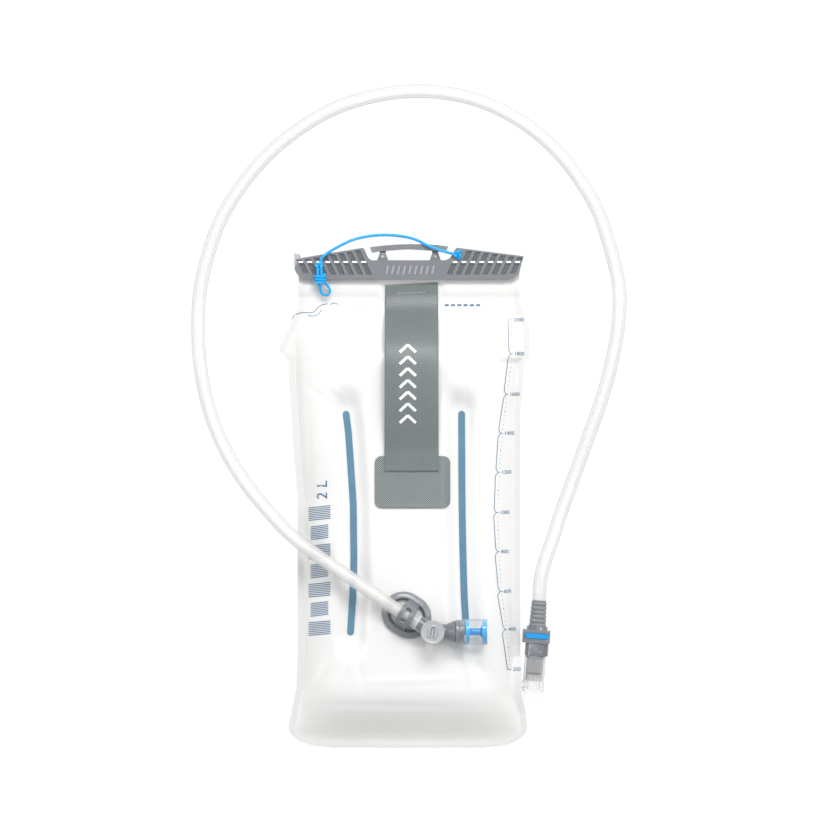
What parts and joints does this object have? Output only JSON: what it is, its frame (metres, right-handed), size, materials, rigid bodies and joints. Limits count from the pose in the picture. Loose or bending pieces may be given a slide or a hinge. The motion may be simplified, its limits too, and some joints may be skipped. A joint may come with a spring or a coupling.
{
  "type": "hydration bladder",
  "caption": "Soft two-film water reservoir with a slide-top closure, hanger, carry strap, quick-release port, clear drinking hose, hose clip and bite valve.",
  "frame": {"origin": "on the back film's resting plane, under the middle of the bag", "axes": "+Y along the bag to the slide bar, +Z out of the front film, +X to the port's side"},
  "size_m": [0.3062, 0.4653, 0.0586],
  "materials": {
    "film": "milky translucent TPU film",
    "baffle_film": "milky translucent TPU web",
    "weld_blue": "satin printed weld strip",
    "clear_plastic": "clear moulded TPU",
    "webbing": "diamond weave webbing with a soft sheen",
    "patch_mesh": "coated diamond weave patch",
    "tether_cord": "bright blue elastic cord",
    "valve_grey": "smooth grey plastic",
    "seal_rubber": "black seal",
    "spring_steel": "bright spring wire",
    "grey_plastic": "satin cool grey moulded plastic",
    "pin_grey": "satin grey plastic pin",
    "hose_clear": "clear milky TPU hose",
    "blue_plastic": "bright blue plastic",
    "frosted_clear": "smoky clear plastic",
    "bite_silicone": "clear silicone"
  },
  "bodies": {
    "reservoir": {"front_film": "film", "back_film": "film", "baffle_left": "baffle_film", "baffle_right": "baffle_film", "weld_strip_left": "weld_blue", "weld_strip_right": "weld_blue", "rail_front": "clear_plastic", "rail_back": "clear_plastic", "carry_strap": "webbing", "strap_patch": "patch_mesh", "tether_eyelet": "clear_plastic", "tether_loop": "tether_cord", "tether_cinch": "tether_cord", "exit_port": "clear_plastic", "port_valve": "valve_grey", "port_oring": "seal_rubber", "spigot_oring": "seal_rubber", "spring_seat": "valve_grey", "poppet_spring": "spring_steel"},
    "slider": {"slide_bar": "grey_plastic", "hanger_arch": "grey_plastic", "hanger_pins": "pin_grey", "tether_line": "tether_cord", "tether_knot": "tether_cord"},
    "poppet": {"poppet": "valve_grey"},
    "hose": {"coupler_body": "grey_plastic", "strain_relief": "grey_plastic", "button_springs": "spring_steel", "drinking_hose": "hose_clear", "clip_ring": "grey_plastic", "clip_saddle": "grey_plastic", "valve_body": "grey_plastic"},
    "button": {"release_button": "blue_plastic", "latch_plate": "spring_steel"},
    "lever": {"shutoff_lever": "frosted_clear", "spindle_oring": "seal_rubber"},
    "bite": {"bite_collar": "grey_plastic", "bite_sheath": "bite_silicone", "bite_core": "blue_plastic"}
  },
  "joints": [
    {"name": "slide_bar_pull", "type": "slide", "parent": "reservoir", "child": "slider", "axis": [-1, 0, 0], "range_m": [0, 0.165]},
    {"name": "hose_disconnect", "type": "slide", "parent": "reservoir", "child": "hose", "axis": [0.0698, 0.9976, 0], "range_m": [0, 0.025]},
    {"name": "poppet_lift", "type": "slide", "parent": "reservoir", "child": "poppet", "axis": [0.0698, 0.9976, 0], "range_m": [0, 0.0025]},
    {"name": "release_press", "type": "slide", "parent": "hose", "child": "button", "axis": [0, 0, -1], "range_m": [0, 0.0012], "stiffness_N_per_m": 400, "springref_m": -0.001, "deforming": ["button_springs"]},
    {"name": "shutoff_turn", "type": "hinge", "parent": "hose", "child": "lever", "pos_m": [0.0165, -0.0938, 0.0495], "axis": [0, 0, -1], "range_deg": [0, 90]},
    {"name": "bite_swivel", "type": "hinge", "parent": "hose", "child": "bite", "pos_m": [0.0165, -0.0938, 0.0495], "axis": [1, 0, 0], "range_deg": [-90, 90]}
  ],
  "couplings": [
    {"joint": "poppet_lift", "follows": "hose_disconnect", "ratio": 0.1}
  ]
}
